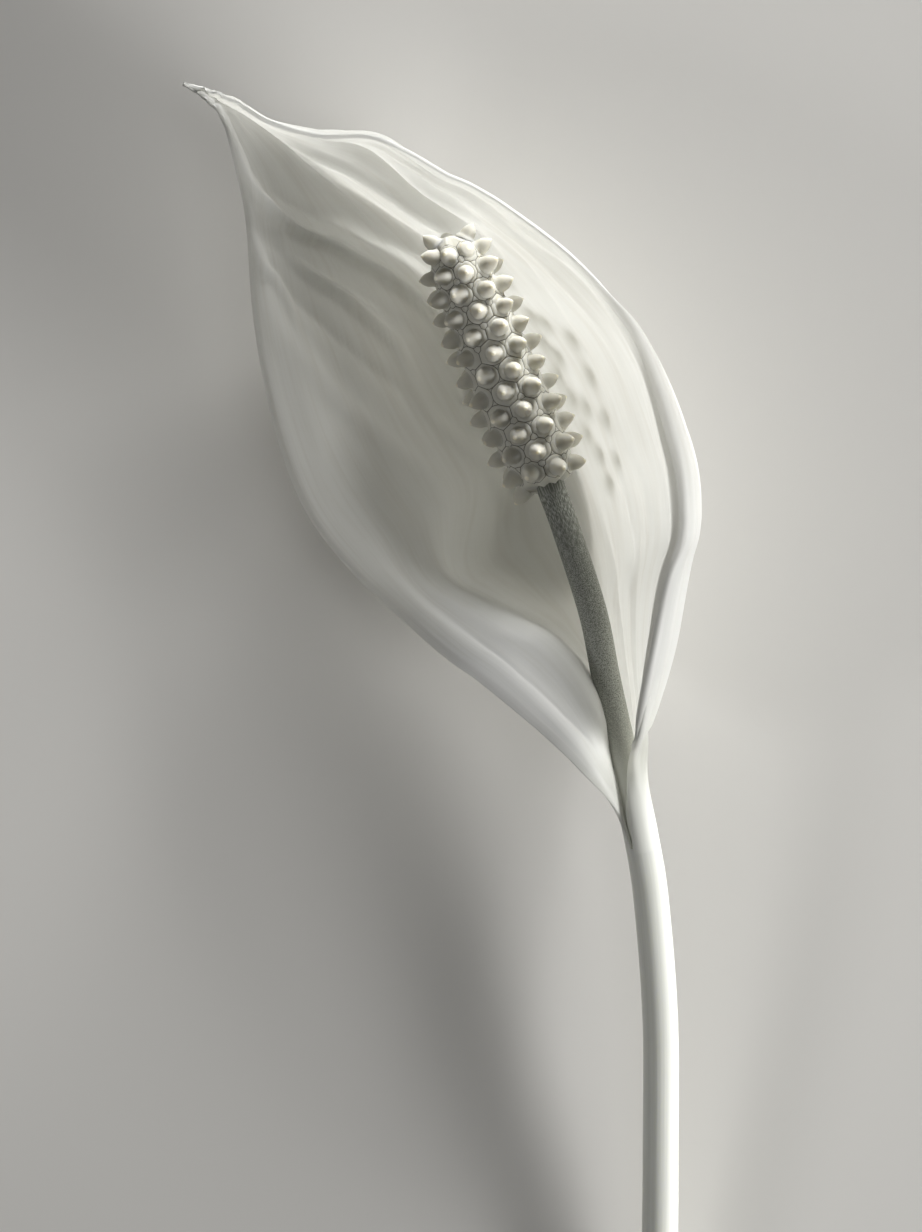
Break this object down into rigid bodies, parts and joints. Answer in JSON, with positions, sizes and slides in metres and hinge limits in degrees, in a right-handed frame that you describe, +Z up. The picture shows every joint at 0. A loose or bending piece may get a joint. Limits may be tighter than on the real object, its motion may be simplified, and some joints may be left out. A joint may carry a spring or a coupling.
{
  "type": "peace lily flower",
  "caption": "Cut peace lily flower lying on its back: white hooded spathe, knobbly cream spadix on a green stipe, and a long pale stalk.",
  "frame": {"origin": "on the small flat at the back of the spathe, where the flower presses on the table", "axes": "+Y from the cut end of the stalk towards the tip of the spathe, +Z up from the table into the open flower, +X to the right for someone who looks down into the flower"},
  "size_m": [0.0546, 0.1874, 0.0299],
  "materials": {
    "peduncle": "satin",
    "stipe": "satin",
    "spathe": "satin",
    "spadix": "matte"
  },
  "bodies": {
    "root": {"peduncle": "peduncle", "stipe": "stipe", "spathe": "spathe", "spadix": "spadix"}
  },
  "joints": []
}
